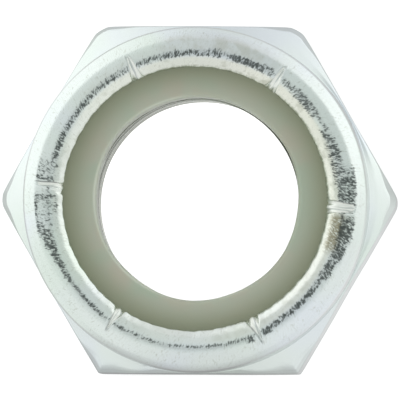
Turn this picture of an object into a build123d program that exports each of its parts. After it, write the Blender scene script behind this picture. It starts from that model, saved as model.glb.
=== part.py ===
from build123d import *
import math
import os

# A 5/8-11 nylon insert lock nut. Lengths are in millimetres and angles in degrees.
# The bearing face lies on z = 0, the thread's axis is +Z, and a corner of the hexagon points along +X.
# The thread's flanks are left out: the bore has the thread's minor radius.

# Hexagon, forged from bar
ACROSS_FLATS = 23.8  # wrench size
HEX_HEIGHT = 12.4  # bearing face to the foot of the collar
CORNER_CUT = 0.3  # round of the turned corners, inside the sharp ones
SHOULDER_FALL = 32.0  # slope of the shoulder, from the collar out to the corners
SHOULDER_EDGE_RADIUS = 0.6  # where the shoulder rolls over into the corners
BEARING_INSET = 0.6  # rim of the bearing face, inside the flats
BEARING_CHAMFER = 30.0  # slope of the chamfer under the corners

# Bore
BORE_RADIUS = 6.9  # minor radius of the thread
COUNTERSINK_RADIUS = 8.2  # mouth of the countersinks, just outside the thread's major radius
COUNTERSINK_SLOPE = 30.0  # slope of the countersinks, from the flat faces

# Collar, turned up out of the hexagon and rolled in over the insert
COLLAR_INSET = 0.15  # collar's wall, inside the flats
COLLAR_WALL = 1.45
COLLAR_ROOT_BEVEL = 0.2  # at the foot of the collar
CURL_RADIUS = 1.55  # outside of the roll
FLOOR_RISE = 0.9  # floor of the recess, above the foot of the collar
LIP_THICKNESS = 1.5  # crest of the roll, above the insert
LIP_REACH = 1.25  # lip's edge, inwards from the collar's inner wall
LIP_DROP = 0.5  # lip's edge, below the crest
LIP_EDGE_BEVEL = 0.2
LIP_HEEL_BEVEL = 0.2  # underside of the lip's edge
RECESS_BEVEL = 0.3  # inner corner between collar and lip

# Staked grooves across the lip
GROOVE_COUNT = 6
GROOVE_TURN = -4.1  # turn of the grooves from the hexagon's corners
GROOVE_ANGLE = 78.0  # between the groove's two sides
GROOVE_DEPTH = 0.35  # at the lip's edge
GROOVE_END_INSET = 0.8  # where the groove runs out on the roll, inside the collar's wall
GROOVE_BOTTOM_RADIUS = 0.12

# Nylon insert
INSERT_THICKNESS = 4.25
INSERT_BORE_RADIUS = 6.85  # under the thread's major radius, so that the bolt cuts into it
INSERT_CLEARANCE = 0.05  # around the insert, in the recess
INSERT_BORE_BEVEL = 0.3  # at both ends of its bore
INSERT_RIM_BEVEL = 0.4  # around its rim, clear of the recess's inner corner

# Places that follow from the sizes
HALF_FLATS = ACROSS_FLATS / 2
CORNER_REACH = HALF_FLATS / math.cos(math.radians(30)) - CORNER_CUT
COLLAR_RADIUS = HALF_FLATS - COLLAR_INSET
RECESS_WALL = COLLAR_RADIUS - COLLAR_WALL
CREST_RADIUS = COLLAR_RADIUS - CURL_RADIUS
LIP_EDGE = RECESS_WALL - LIP_REACH
RECESS_FLOOR = HEX_HEIGHT + FLOOR_RISE
INSERT_TOP = RECESS_FLOOR + INSERT_THICKNESS
NUT_HEIGHT = INSERT_TOP + LIP_THICKNESS
LIP_EDGE_HEIGHT = NUT_HEIGHT - LIP_DROP


def nearest(face, place):
    """The corner of a flat face that lies at a place."""
    return face.vertices().sort_by_distance(Vector(*place))[0]


def ring(face, bevels):
    """A solid of revolution about the thread's axis.

    face is its section in (radius, height), and bevels pairs some of the section's corners with the width
    of a bevel.
    """
    for corner, width in bevels:
        face = chamfer(nearest(face, corner), width)
    return revolve(Plane.XZ * face, Axis.Z, 360)


def hexagon_blank():
    """The hexagon over the nut's whole height, before it is turned."""
    return extrude(RegularPolygon(HALF_FLATS, 6, major_radius=False), NUT_HEIGHT)


def turned_form():
    """Every round surface of the steel: bearing chamfer, corners, shoulder, collar, rolled lip, recess and bore."""
    bearing_rim = HALF_FLATS - BEARING_INSET
    chamfer_rise = (CORNER_REACH - bearing_rim) * math.tan(math.radians(BEARING_CHAMFER))
    shoulder_drop = (CORNER_REACH - COLLAR_RADIUS) * math.tan(math.radians(SHOULDER_FALL))
    countersink_depth = (COUNTERSINK_RADIUS - BORE_RADIUS) * math.tan(math.radians(COUNTERSINK_SLOPE))
    shoulder_edge = (CORNER_REACH, HEX_HEIGHT - shoulder_drop)
    collar_foot = (COLLAR_RADIUS, HEX_HEIGHT)
    collar_top = (COLLAR_RADIUS, NUT_HEIGHT - CURL_RADIUS)
    crest = (CREST_RADIUS, NUT_HEIGHT)
    lip_edge = (LIP_EDGE, LIP_EDGE_HEIGHT)
    lip_heel = (LIP_EDGE, INSERT_TOP)
    recess_corner = (RECESS_WALL, INSERT_TOP)
    inside = Polyline(
        lip_edge,
        lip_heel,
        recess_corner,
        (RECESS_WALL, RECESS_FLOOR),
        (COUNTERSINK_RADIUS, RECESS_FLOOR),
        (BORE_RADIUS, RECESS_FLOOR - countersink_depth),
        (BORE_RADIUS, countersink_depth),
        (COUNTERSINK_RADIUS, 0),
    )
    outside = Polyline(
        (COUNTERSINK_RADIUS, 0),
        (bearing_rim, 0),
        (CORNER_REACH, chamfer_rise),
        shoulder_edge,
        collar_foot,
        collar_top,
    )
    roll = TangentArc(collar_top, crest, tangent=(0, 1))
    lip = TangentArc(crest, lip_edge, tangent=(-1, 0))
    bevels = [
        (collar_foot, COLLAR_ROOT_BEVEL),
        (lip_edge, LIP_EDGE_BEVEL),
        (lip_heel, LIP_HEEL_BEVEL),
        (recess_corner, RECESS_BEVEL),
    ]
    section = make_face([inside, outside, roll, lip])
    return ring(fillet(nearest(section, shoulder_edge), SHOULDER_EDGE_RADIUS), bevels)


def staked_groove():
    """The metal that one punch displaces: a V that is deepest at the lip's edge and runs out on the roll."""
    end_radius = COLLAR_RADIUS - GROOVE_END_INSET
    end_height = NUT_HEIGHT - CURL_RADIUS + math.sqrt(CURL_RADIUS**2 - (end_radius - CREST_RADIUS) ** 2)
    start_height = LIP_EDGE_HEIGHT - GROOVE_DEPTH
    rise = math.atan2(end_height - start_height, end_radius - LIP_EDGE)
    depth = NUT_HEIGHT - start_height + LIP_THICKNESS
    half_width = depth * math.tan(math.radians(GROOVE_ANGLE / 2))
    overrun = COLLAR_WALL / math.cos(rise)
    length = (end_radius - LIP_EDGE) / math.cos(rise) + 2 * overrun
    along = Vector(math.cos(rise), 0, math.sin(rise))
    bottom = Plane(origin=Vector(LIP_EDGE, 0, start_height) - along * overrun, x_dir=(0, 1, 0), z_dir=along)
    section = make_face(Polyline((0, 0), (half_width, depth), (-half_width, depth), close=True))
    return extrude(bottom * fillet(nearest(section, (0, 0)), GROOVE_BOTTOM_RADIUS), length)


def nut_body():
    """The steel nut: a forged hexagon with its bore, and the collar rolled in and staked over the insert."""
    body = hexagon_blank() & turned_form()
    groove = staked_groove()
    for index in range(GROOVE_COUNT):
        body -= Rot(0, 0, GROOVE_TURN + index * 360 / GROOVE_COUNT) * groove
    return body


def nylon_insert():
    """The captive ring: it stands on the recess's floor and is held down by the lip."""
    rim = RECESS_WALL - INSERT_CLEARANCE
    bore_foot = (INSERT_BORE_RADIUS, RECESS_FLOOR)
    bore_top = (INSERT_BORE_RADIUS, INSERT_TOP)
    rim_foot = (rim, RECESS_FLOOR)
    rim_top = (rim, INSERT_TOP)
    bevels = [
        (bore_foot, INSERT_BORE_BEVEL),
        (bore_top, INSERT_BORE_BEVEL),
        (rim_foot, INSERT_RIM_BEVEL),
        (rim_top, INSERT_RIM_BEVEL),
    ]
    return ring(make_face(Polyline(bore_foot, rim_foot, rim_top, bore_top, close=True)), bevels)


os.makedirs("parts", exist_ok=True)
export_step(nut_body(), "parts/nut_body.step")
export_step(nylon_insert(), "parts/nylon_insert.step")
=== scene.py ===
"""A nylon insert lock nut: a crimped and threaded steel body round its nylon ring, on a pale floor."""
import logging
import math
from dataclasses import dataclass, field
from enum import Enum
from typing import Sequence

import bpy
import numpy as np
from mathutils import Matrix, Vector


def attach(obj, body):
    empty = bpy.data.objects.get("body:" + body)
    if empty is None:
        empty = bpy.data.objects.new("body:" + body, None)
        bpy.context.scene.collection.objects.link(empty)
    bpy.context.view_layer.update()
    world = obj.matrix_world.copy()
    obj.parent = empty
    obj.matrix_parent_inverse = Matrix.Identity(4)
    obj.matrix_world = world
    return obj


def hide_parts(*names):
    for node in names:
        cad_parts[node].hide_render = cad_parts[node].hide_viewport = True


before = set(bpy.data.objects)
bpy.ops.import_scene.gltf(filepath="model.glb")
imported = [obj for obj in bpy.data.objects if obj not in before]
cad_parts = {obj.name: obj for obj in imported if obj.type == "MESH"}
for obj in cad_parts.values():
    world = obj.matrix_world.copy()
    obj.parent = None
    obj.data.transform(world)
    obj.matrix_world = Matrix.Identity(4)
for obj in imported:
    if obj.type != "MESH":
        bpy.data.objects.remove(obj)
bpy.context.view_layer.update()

log = logging.getLogger("lock_nut")

Grid = np.ndarray
Socket = bpy.types.NodeSocket
Number = float | Socket
Colour = tuple[float, float, float]
Span = tuple[float, float]
Waves = Sequence[tuple[int, float, float]]
Titles = Sequence[tuple[str, str]]

MM = 0.001  # metres in a millimetre: sizes are written in millimetres, meshes in metres
INCH = 25.4
TURN = 2 * math.pi
SIDES = 6
SIXTH = math.radians(360 / SIDES)
SEAT = 13.3  # height of the recess's floor, where the bore ends and the ring stands
UNDERSIDE = 17.55  # height of the lip's underside, which holds the ring
CREASE = math.radians(50)  # edges that turn by more stay sharp
GUARD = 0.03  # width of the row at either end of a straight run, which keeps its shading flat
GUARD_SHARE = 0.25  # most of a short run that such a row may take
ARC_SHARE = 0.48  # most of a straight run that the arc at one of its ends may take
DECIMALS = 6  # points that agree to this many decimals of a millimetre are one point
TINY = 1e-9  # keeps a division from meeting nothing


class Slot(Enum):
    """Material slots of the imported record."""

    ZINC = "zinc_plated_steel"
    NYLON = "nylon"


# Surfaces worked out on grids


def smooth(low: float | Grid, high: float | Grid, value: Grid) -> Grid:
    """A smooth step: t * t * (3 - 2 * t), where t runs from 0 at low to 1 at high.

    Args:
        low: value at which the step begins.
        high: value at which it ends, which may be the lower one.
        value: where it is worked out.

    Returns:
        Numbers from 0 to 1, shaped like value.
    """
    t = np.clip((value - low) / (high - low), 0, 1)
    return t * t * (3 - 2 * t)


def lower_of(first: Grid, second: Grid | float, blend: float) -> Grid:
    """The lower of two heights, with a rounded crease: (a + b - sqrt((a - b)^2 + blend^2)) / 2.

    Args:
        first: one height.
        second: the other height.
        blend: width of the rounding.

    Returns:
        The lower height at every point.
    """
    return (first + second - np.sqrt((first - second) ** 2 + blend**2)) / 2


def tangent(slope: float) -> float:
    """Rise of a slope in degrees for one unit across."""
    return math.tan(math.radians(slope))


def ripple(angle: Grid, waves: Waves) -> Grid:
    """A slow wander round the nut: the sum of size * sin(count * angle + start).

    Args:
        angle: angle about the thread's axis.
        waves: for each wave its count round the nut, its size and where it starts.

    Returns:
        The wander at every angle.
    """
    return sum(size * np.sin(count * angle + start) for count, size, start in waves)


def row_band(rows: int, first: int, last: int) -> Grid:
    """Marks some rows of a profile.

    Args:
        rows: how many rows the profile has.
        first: the first marked row.
        last: the row after the last marked one.

    Returns:
        Rows by one: 1 on the marked rows, 0 on the others.
    """
    band = np.zeros((rows, 1))
    band[first:last] = 1
    return band


def run_shares(count: int, length: Grid) -> Grid:
    """Places along straight runs, as shares of their lengths: even, but for a narrow row at either end.

    Args:
        count: steps along the run.
        length: the run's length in every column.

    Returns:
        An array of rows by one by columns.
    """
    even = np.linspace(0, 1, count + 1)[:, None, None] + np.zeros_like(length)
    if count > 2:
        guard = np.minimum(GUARD / length, GUARD_SHARE)
        even[1:-1] = guard + (1 - 2 * guard) * np.linspace(0, 1, count - 1)[:, None, None]
    return even


def rounded_chain(
    corners: Sequence[tuple], radii: Sequence[Grid | float], arcs: Sequence[int], runs: Sequence[int]
) -> Grid:
    """Rows along a chain of straight runs in (radius, height) whose inner corners are rounded.

    With d the direction into a corner, phi the turn there and rho its radius, the arc starts
    rho * tan(phi / 2) before the corner, and its point at the fraction f is
    start + d * rho * sin(f * phi) + n * rho * (1 - cos(f * phi)), where n is square to d on the inside.

    Args:
        corners: the chain's points, each a radius and a height that may change from column to column.
        radii: rounding at each inner corner, cut down where a run is too short for it.
        arcs: steps along each arc.
        runs: steps along each straight run.

    Returns:
        An array of rows by two (radius, height) by columns.
    """
    wide = np.broadcast_shapes(*(np.shape(value) for corner in corners for value in corner))
    points = np.array([[np.broadcast_to(value, wide) for value in corner] for corner in corners], float)
    steps = np.diff(points, axis=0)
    lengths = np.linalg.norm(steps, axis=1)
    headings = steps / lengths[:, None]
    stops = [(points[0], points[0])]
    curves = []
    for index, radius in enumerate(radii):
        before, after = headings[index], headings[index + 1]
        cross = before[0] * after[1] - before[1] * after[0]
        turn = np.arctan2(cross, (before * after).sum(axis=0))
        half = np.tan(np.abs(turn) / 2)
        room = ARC_SHARE * np.minimum(lengths[index], lengths[index + 1])
        rho = np.minimum(np.broadcast_to(radius, wide), room / half)
        start = points[index + 1] - before * rho * half
        inward = np.sign(turn) * np.array([-before[1], before[0]])
        swing = np.linspace(0, 1, arcs[index] + 1)[:, None, None] * np.abs(turn)
        curve = start + before * rho * np.sin(swing) + inward * rho * (1 - np.cos(swing))
        curves.append(curve)
        stops.append((curve[0], curve[-1]))
    stops.append((points[-1], points[-1]))
    rows = []
    for index, count in enumerate(runs):
        share = run_shares(count, lengths[index])
        run = stops[index][1] * (1 - share) + stops[index + 1][0] * share
        rows.append(run[:-1])
        rows.append(curves[index][:-1] if index < len(curves) else run[-1:])
    return np.concatenate(rows)


def closed_surface(points: Grid) -> tuple[Grid, list[list[int]], Grid]:
    """Joins a grid of points into one surface, closed where its edges meet.

    Each square of the grid is a face. Points in the same place become one, and a face that loses one corner
    that way is a triangle, while one that loses two is left out.

    Args:
        points: rows by columns by three, in millimetres, with the first and last column in the same places.

    Returns:
        The points that are left, the faces as lists of their numbers, and where in the grid each point stood.
    """
    rows, columns = points.shape[:2]
    flat = np.round(points.reshape(-1, 3), DECIMALS)
    kept, source, number = np.unique(flat, axis=0, return_index=True, return_inverse=True)
    number = number.reshape(rows, columns)
    corners = [number[:-1, :-1], number[:-1, 1:], number[1:, 1:], number[1:, :-1]]
    quads = np.stack(corners, axis=-1).reshape(-1, 4)
    same = quads == np.roll(quads, -1, axis=1)
    lost = same.sum(axis=1)
    folded = (quads[:, 0] == quads[:, 2]) | (quads[:, 1] == quads[:, 3])
    whole = quads[(lost == 0) & ~folded]
    pinched = (lost == 1) & ~folded
    triangles = quads[pinched][~same[pinched]].reshape(-1, 3)
    return kept, whole.tolist() + triangles.tolist(), source


def make_object(name: str, points: Grid, material: bpy.types.Material) -> tuple[bpy.types.Object, Grid]:
    """Makes a mesh object at the origin.

    Args:
        name: its name.
        points: its grid of points, rows by columns by three, in millimetres.
        material: its finish.

    Returns:
        The object, and where in the grid each of its points stood.
    """
    places, faces, source = closed_surface(points)
    mesh = bpy.data.meshes.new(name)
    mesh.from_pydata((places * MM).tolist(), [], faces)
    mesh.materials.append(material)
    made = bpy.data.objects.new(name, mesh)
    bpy.context.scene.collection.objects.link(made)
    return made, source


def make_piece(
    name: str, points: Grid, marks: dict[str, Grid], material: bpy.types.Material, node: str
) -> None:
    """Makes a piece of the nut and puts it in the place of its CAD node.

    Args:
        name: the piece's name.
        points: its grid of points, rows by columns by three, in millimetres.
        marks: named values at every point of the grid, for the material to read.
        material: its finish.
        node: the CAD node that it stands for.
    """
    piece, source = make_object(name, points, material)
    mesh = piece.data
    for title, values in marks.items():
        mark = mesh.attributes.new(title, "FLOAT", "POINT")
        mark.data.foreach_set("value", values.ravel()[source])
    mesh.shade_smooth()
    mesh.set_sharp_from_angle(angle=CREASE)
    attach(piece, "root")
    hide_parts(node)
    log.info("%s: %d points, %d faces", name, len(mesh.vertices), len(mesh.polygons))


# The steel nut


@dataclass
class WrenchFlats:
    """The forged hexagon, whose corners are turned off to slightly different radii.

    A field of six values goes round the nut, for the corners from +X on and for the flats from 30 degrees on.
    A rubbed band lies between shoulder and wall: thin, but for the middle of a flat and the tip of a corner.
    """

    across: float = 23.855
    height: float = 12.4
    shift: Span = (0.03, -0.007)
    corners: tuple[float, ...] = (13.57, 13.5, 13.5, 13.54, 14.0, 13.82)
    blend: float = 0.12
    thin_band: float = 0.09
    corner_bands: tuple[float, ...] = (0.44, 0.34, 0.26, 0.33, 0.5, 0.5)
    flat_bands: tuple[float, ...] = (0.05, 0.04, 0.04, 0.04, 0.34, 0.08)
    band_slope: float = 68.0
    middle_fade: float = 1.3
    tip_fade: Span = (0.6, 1.5)
    thin_rounding: float = 0.08
    corner_roundings: tuple[float, ...] = (0.4, 0.25, 0.4, 0.12, 1.5, 1.5)
    flat_roundings: tuple[float, ...] = (0.05, 0.05, 0.05, 0.05, 1.0, 0.3)

    def nearest(self, angle: Grid, values: Sequence[float]) -> Grid:
        """The one of six values that belongs to the corner nearest to each angle."""
        return np.array(values)[np.round(angle / SIXTH).astype(int) % len(values)]

    def reach(self, angle: Grid) -> Grid:
        """Distance of the wall from the axis: the lower of a / cos(30 - t) and the corner's radius.

        Here a is half the width across flats and t the angle from the nearest corner.

        Args:
            angle: angle about the axis.

        Returns:
            The distance at every angle.
        """
        turn = np.abs((angle + SIXTH / 2) % SIXTH - SIXTH / 2)
        flat = self.across / 2 / np.cos(SIXTH / 2 - turn)
        return lower_of(flat, self.nearest(angle, self.corners), self.blend)

    def band(self, angle: Grid) -> tuple[Grid, Grid]:
        """The rubbed band: thin + (flat's - thin) * middle + (corner's - thin) * tip, both shares soft steps.

        Args:
            angle: angle about the axis.

        Returns:
            Its width, and the rounding of its edges.
        """
        past = self.reach(angle) - self.across / 2
        middle = smooth(self.middle_fade, 0, past)
        tip = smooth(*self.tip_fade, past)
        side = angle - SIXTH / 2
        found = []
        for thin, flats, corners in (
            (self.thin_band, self.flat_bands, self.corner_bands),
            (self.thin_rounding, self.flat_roundings, self.corner_roundings),
        ):
            value = thin + (self.nearest(side, flats) - thin) * middle
            found.append(value + (self.nearest(angle, corners) - thin) * tip)
        return found[0], found[1]


@dataclass
class Thread:
    """The bore's right-hand thread: a section carried round, and up one pitch a turn.

    The section lists one pitch of it, from a crest to the next: height as a share of the pitch, and how far
    out as a share of the depth. Its corners are softened. The tap left the foot wider, by the bell.
    """

    minor: float = 6.9
    major: float = 7.94
    pitch: float = INCH / 11
    section: tuple[Span, ...] = (
        (0.0, 0.02),
        (0.02, 0.0),
        (0.336, 0.0),
        (0.356, 0.02),
        (0.376, 0.08),
        (0.486, 0.507),
        (0.595, 0.935),
        (0.62, 1.0),
        (0.735, 1.0),
        (0.76, 0.935),
        (0.87, 0.505),
        (0.98, 0.08),
    )
    start: float = 0.36
    turns_below: int = 2
    bell: float = 0.25
    mouth: float = 8.2
    mouth_slope: float = 30.0
    top: float = SEAT

    def rows(self, angle: Grid) -> Grid:
        """Rows of the bore from its top mouth down.

        The height is start + pitch * angle / one turn, kept within the bore. The radius is the section's plus
        bell * (1 - height / top), or that of a mouth's cone where it is wider.

        Args:
            angle: angle of each column.

        Returns:
            An array of rows by two (radius, height) by columns.
        """
        share, depth = np.array(self.section).T
        turns = np.arange(-self.turns_below, math.ceil(self.top / self.pitch) + 1)
        start = (turns[:, None] + share).ravel()[::-1, None] * self.pitch + self.start
        height = np.clip(start + self.pitch * angle / TURN, 0, self.top)
        cut = self.minor + (self.major - self.minor) * depth
        cut = np.tile(cut, len(turns))[::-1, None] + self.bell * (1 - height / self.top)
        cone = self.mouth - np.minimum(height, self.top - height) / tangent(self.mouth_slope)
        return np.stack([np.maximum(cut, cone), height], axis=1)


@dataclass
class Crimp:
    """One mark of the staking punch across the lip: a V with a ribbed bottom, and a ridge beside it.

    The angle is in degrees about the axis and the end is a radius. Spans of where a part starts are measured
    outwards from the lip's edge, and spans of where it stops or runs out are measured from the end.
    """

    angle: float
    lip_width: float = 0.42
    end_width: float = 0.1
    end: float = 10.9
    skew: float = 0.0
    depth: float = 0.1
    feet: tuple[Span, ...] = ((-0.2, 0.15), (0.2, 0.15))  # each by its place across and its reach
    # strength of the painted shadow line along each side
    crease_shadows: Span = (0.5, 0.5)
    wander: float = 0.02
    ribs: float = 2.0
    wander_waves: float = 7.0
    taper: float = 0.8
    slope: float = 0.9
    rib_height: float = 0.01
    blend: float = 0.02
    run_out: Span = (-0.25, 0.45)
    run_out_rise: float = 2.0
    foot_width: float = 0.13
    ridge: float = 0.02
    ridge_gap: float = 0.06
    ridge_width: float = 0.07
    ridge_start: Span = (0.2, 0.6)
    ridge_stop: Span = (0.1, -0.3)
    # width and reach of the painted shadow lines
    crease_shadow_width: float = 0.05
    crease_shadow_start: Span = (0.25, 0.6)
    crease_shadow_stop: Span = (0.12, -0.15)

    def measure(self, x: Grid, y: Grid, lip: float) -> tuple[Grid, Grid, Grid]:
        """Places along the crimp, distances from its middle line, and its half width there.

        The width runs from the lip's to the end's by share^taper, and the middle line leans by the skew and
        wanders by wander * sin(waves * share + angle).

        Args:
            x: place of every point.
            y: place of every point.
            lip: radius of the lip's edge.

        Returns:
            The three values at every point.
        """
        turn = math.radians(self.angle)
        along = x * math.cos(turn) + y * math.sin(turn)
        share = (along - lip) / (self.end - lip)
        across = y * math.cos(turn) - x * math.sin(turn) - self.skew * (share - 0.5)
        across = across + self.wander * np.sin(self.wander_waves * share + self.angle)
        width = self.lip_width + (self.end_width - self.lip_width) * np.clip(share, 0, 1) ** self.taper
        return along, across, width

    def stretch(self, along: Grid, lip: float, start: Span, stop: Span) -> Grid:
        """A part of the crimp's length: a soft step up after the lip's edge times one down near the end.

        Args:
            along: places along the crimp.
            lip: radius of the lip's edge.
            start: distances from the lip's edge between which the part begins.
            stop: distances from the end between which it fades.

        Returns:
            The part's strength at every point.
        """
        rising = smooth(lip + start[0], lip + start[1], along)
        return rising * smooth(self.end + stop[0], self.end + stop[1], along)

    def drop(self, x: Grid, y: Grid, lip: float) -> Grid:
        """How far the surface is pressed down: slope * (width - |across|), no deeper than the ribbed bottom.

        Args:
            x: place of every point.
            y: place of every point.
            lip: radius of the lip's edge.

        Returns:
            The depth at every point, less the ridge's height beside the crimp.
        """
        along, across, width = self.measure(x, y, lip)
        away = np.sqrt(across**2 + self.blend**2) - self.blend
        run_out = smooth(self.end + self.run_out[0], self.end + self.run_out[1], along)
        wall = self.slope * (width - away) - self.run_out_rise * run_out
        bottom = self.depth + self.rib_height * np.cos(math.pi * self.ribs * across / self.lip_width)
        pressed = lower_of(wall, bottom, self.blend)
        pressed = -lower_of(-pressed, 0.0, self.blend)
        bank = np.exp(-(((away - width - self.ridge_gap) / self.ridge_width) ** 2))
        bank = bank * self.stretch(along, lip, self.ridge_start, self.ridge_stop)
        return np.where(along > 0, pressed - self.ridge * bank, 0)

    def push(self, x: Grid, y: Grid, lip: float) -> Grid:
        """How far the lip's edge is pushed outwards at each foot: reach * exp(-((across - place) / width)^2).

        Args:
            x: place of every point.
            y: place of every point.
            lip: radius of the lip's edge.

        Returns:
            The distance at every point.
        """
        along, across, _ = self.measure(x, y, lip)
        feet = sum(reach * np.exp(-(((across - place) / self.foot_width) ** 2)) for place, reach in self.feet)
        return np.where(along > 0, feet, 0)

    def crease(self, x: Grid, y: Grid, lip: float) -> Grid:
        """The painted shadow lines along both sides: strength * exp(-((across -+ width) / crease width)^2).

        Args:
            x: place of every point.
            y: place of every point.
            lip: radius of the lip's edge.

        Returns:
            The lines' strength at every point.
        """
        along, across, width = self.measure(x, y, lip)
        left, right = self.crease_shadows
        lines = left * np.exp(-(((across + width) / self.crease_shadow_width) ** 2))
        lines = lines + right * np.exp(-(((across - width) / self.crease_shadow_width) ** 2))
        return lines * self.stretch(along, lip, self.crease_shadow_start, self.crease_shadow_stop)


@dataclass
class Mark:
    """A patch on the collar, by its middle angle and half width in degrees and its inner and outer radius."""

    angle: float
    spread: float
    inner: float
    outer: float
    strength: float = 1.0
    soft: float = 0.13
    fade: float = 0.35

    def cover(self, turn: Grid, radius: Grid) -> Grid:
        """The patch: strength * its soft step across the angle * its soft steps at both radii.

        Args:
            turn: angle about the axis, in degrees.
            radius: distance from the axis.

        Returns:
            Its strength at every point.
        """
        away = np.abs((turn - self.angle + 180) % 360 - 180)
        across = smooth((1 + self.fade) * self.spread, (1 - self.fade) * self.spread, away)
        inside = smooth(self.inner - self.soft, self.inner + self.soft, radius)
        outside = smooth(self.outer + self.soft, self.outer - self.soft, radius)
        return self.strength * across * inside * outside


CRIMPS = (
    Crimp(
        angle=-3.5, lip_width=0.48, end_width=0.26, end=10.98,
        depth=0.09, ribs=5, feet=((-0.27, 0.1), (0.24, 0.12)), crease_shadows=(0.2, 0.7),
    ),
    Crimp(
        angle=55.8, lip_width=0.42, end_width=0.05, end=10.95,
        depth=0.11, wander=0.03, feet=((-0.14, 0.16), (0.2, 0.18)), crease_shadows=(0.35, 0.3),
    ),
    Crimp(
        angle=116.0, lip_width=0.4, end_width=0.12, end=10.8,
        depth=0.09, wander=0.03, feet=((0.24, 0.2), (-0.25, 0.06)), crease_shadows=(0.3, 0.5),
    ),
    Crimp(
        angle=174.9, lip_width=0.22, end_width=0.12, end=10.98,
        skew=-0.12, depth=0.08, feet=((-0.12, 0.12), (0.4, 0.08)), crease_shadows=(0.9, 0.15),
    ),
    Crimp(
        angle=236.1, lip_width=0.32, end_width=0.04, end=10.93,
        depth=0.1, ribs=1, feet=((-0.26, 0.15), (0.2, 0.15)), crease_shadows=(0.7, 0.4),
    ),
    Crimp(
        angle=295.2, lip_width=0.4, end_width=0.03, end=10.92,
        depth=0.1, ribs=3, feet=((-0.3, 0.17), (0.28, 0.18)), crease_shadows=(0.8, 0.2),
    ),
)

# Patches by angle, spread, inner radius, outer radius and strength
# crazing patches, partly a painted dark reflection on the crest
CRAZE_AND_REFLECTION_PATCHES = (
    Mark(3.5, 8.0, 9.68, 10.97, 0.9),
    Mark(5.5, 5.5, 10.8, 11.02, 0.9, soft=0.06),
    Mark(15.0, 10.0, 9.48, 10.38, 0.84),
    Mark(25.0, 4.0, 9.60, 10.26, 0.78),
    Mark(41.0, 7.0, 9.58, 10.30, 0.88),
    Mark(51.0, 4.0, 9.74, 10.22, 0.7),
    Mark(60.5, 2.5, 9.66, 10.34, 0.76),
    Mark(69.0, 8.5, 9.62, 10.16, 1.0),
    Mark(82.0, 2.0, 9.62, 10.36, 0.85),
    Mark(84.0, 7.0, 9.68, 10.14, 0.82),
    Mark(95.0, 10.0, 9.65, 10.12, 0.86),
    Mark(106.0, 6.0, 9.66, 10.12, 0.82),
    Mark(118.0, 6.0, 9.68, 10.12, 0.7),
    Mark(130.0, 9.0, 9.74, 10.18, 0.84),
    Mark(146.0, 9.0, 9.74, 10.18, 0.9),
    Mark(159.0, 7.0, 9.75, 10.22, 0.94),
    Mark(169.0, 4.0, 9.62, 10.9, 0.66),
    Mark(169.0, 4.0, 10.82, 10.98, 0.6, soft=0.05),
    Mark(172.4, 0.7, 9.75, 10.98, 0.85),
    Mark(179.4, 0.8, 9.5, 11.0, 0.9),
    Mark(182.5, 5.0, 9.44, 9.62, 0.85),
    Mark(185.0, 7.0, 9.50, 10.95, 0.5),
    Mark(185.5, 7.0, 10.84, 11.0, 1.0, soft=0.05),
    Mark(191.0, 3.0, 10.4, 11.0, 0.9),
    Mark(195.5, 4.0, 10.1, 10.80, 0.95),
    Mark(201.0, 5.0, 10.02, 10.60, 0.92),
    Mark(208.0, 5.0, 10.02, 10.46, 0.88),
    Mark(218.0, 8.0, 10.02, 10.34, 0.86),
    Mark(228.0, 4.5, 9.98, 10.34, 1.0),
    Mark(240.0, 4.0, 10.06, 10.32, 0.85),
    Mark(255.0, 12.0, 10.05, 10.28, 0.84),
    Mark(275.0, 12.0, 10.04, 10.26, 0.84),
    Mark(287.0, 4.0, 10.04, 10.33, 0.9),
    Mark(291.8, 1.4, 10.1, 10.56, 0.9),
    Mark(299.0, 2.0, 10.0, 10.54, 0.95),
    Mark(309.0, 9.0, 9.90, 10.33, 1.0),
    Mark(325.0, 9.0, 9.90, 10.36, 1.0),
    Mark(334.0, 6.0, 9.95, 10.6, 0.96),
    Mark(341.0, 5.0, 10.08, 10.85, 1.0),
    Mark(348.0, 5.0, 10.08, 11.02, 1.0),
)

STAINS = (
    Mark(346.5, 7.5, 9.35, 10.3, 0.95, soft=0.25),
    Mark(349.0, 4.5, 9.9, 10.7, 0.5, soft=0.3),
)

# patches of painted grey reflection on the collar
REFLECTED_GREY_PATCHES = (
    Mark(82.0, 22.0, 10.1, 11.05, 0.62, soft=0.25),
    Mark(120.0, 20.0, 10.0, 10.6, 0.25, soft=0.3),
    Mark(310.0, 30.0, 9.4, 10.0, 0.3, soft=0.3),
)


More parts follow.
